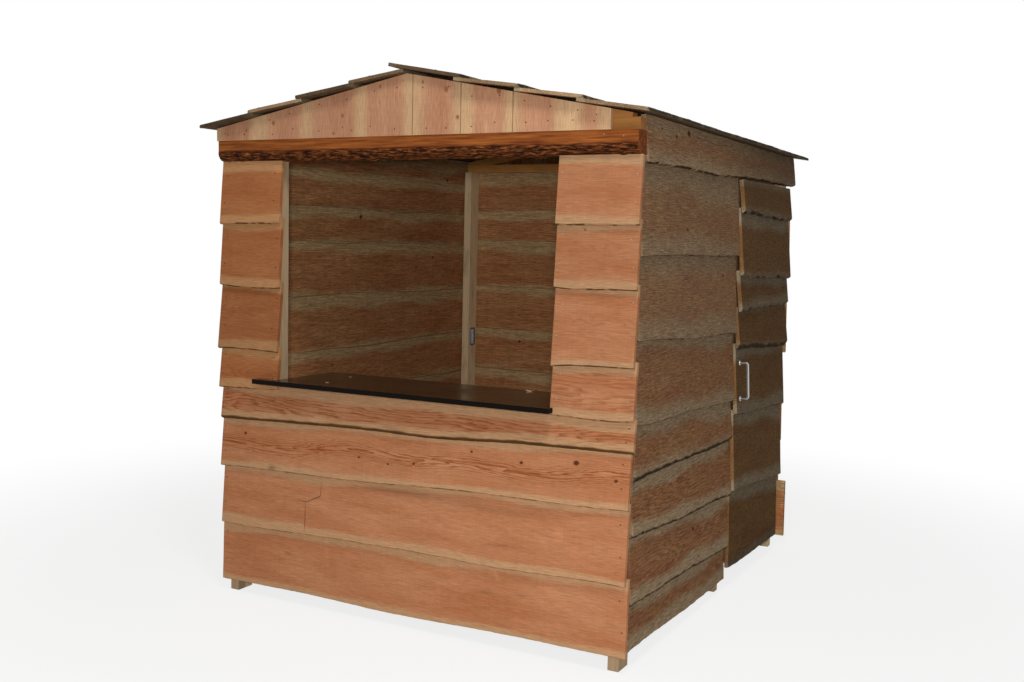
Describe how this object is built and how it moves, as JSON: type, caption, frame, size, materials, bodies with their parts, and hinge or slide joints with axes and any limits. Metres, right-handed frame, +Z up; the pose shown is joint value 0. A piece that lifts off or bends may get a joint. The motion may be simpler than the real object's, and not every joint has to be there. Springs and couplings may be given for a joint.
{
  "type": "street kiosk",
  "caption": "Timber street kiosk clad in lapped live-edge boards, with a serving opening over a dark counter, a hinged side door and a shallow gable roof.",
  "frame": {"origin": "on the ground at the middle of the kiosk's box", "axes": "+X to the right as seen from the serving side, +Y to the back, +Z up"},
  "size_m": [2.136, 2.33, 2.3285],
  "materials": {
    "live_edge_board": "rough-sawn softwood, pale sapwood edges",
    "gable_board": "rough-sawn softwood",
    "roof_board": "rough-sawn softwood, darker from the weather",
    "post_timber": "sawn pale softwood",
    "header_timber": "sawn softwood with bark on its lower edge",
    "film_faced_plywood": "smooth dark phenolic film, semi-gloss",
    "galvanised_steel": "zinc coated, dull",
    "satin_steel": "satin"
  },
  "bodies": {
    "kiosk": {"back_gable_boards": "gable_board", "back_posts": "post_timber", "back_rafters": "post_timber", "back_top_plate": "post_timber", "back_wall_boards": "live_edge_board", "corner_latches": "galvanised_steel", "counter": "film_faced_plywood", "front_gable_boards": "gable_board", "front_left_boards": "live_edge_board", "front_lower_boards": "live_edge_board", "front_posts": "post_timber", "front_rafters": "post_timber", "front_right_boards": "live_edge_board", "front_top_plate": "post_timber", "header_beam": "header_timber", "hinge_post_leaves": "galvanised_steel", "jamb_studs": "post_timber", "left_posts": "post_timber", "left_top_board": "live_edge_board", "left_wall_boards": "live_edge_board", "right_panel_boards": "live_edge_board", "right_posts": "post_timber", "right_top_board": "live_edge_board", "roof_left_boards": "roof_board", "roof_right_boards": "roof_board", "sill_rail": "post_timber"},
    "door": {"door_boards": "live_edge_board", "door_stiles": "post_timber", "door_handle": "satin_steel", "hinge_door_leaves": "galvanised_steel"}
  },
  "joints": [
    {"name": "door_hinge", "type": "hinge", "parent": "kiosk", "child": "door", "pos_m": [0.99, 1.017, 1], "axis": [0, 0, 1], "range_deg": [0, 90]}
  ]
}
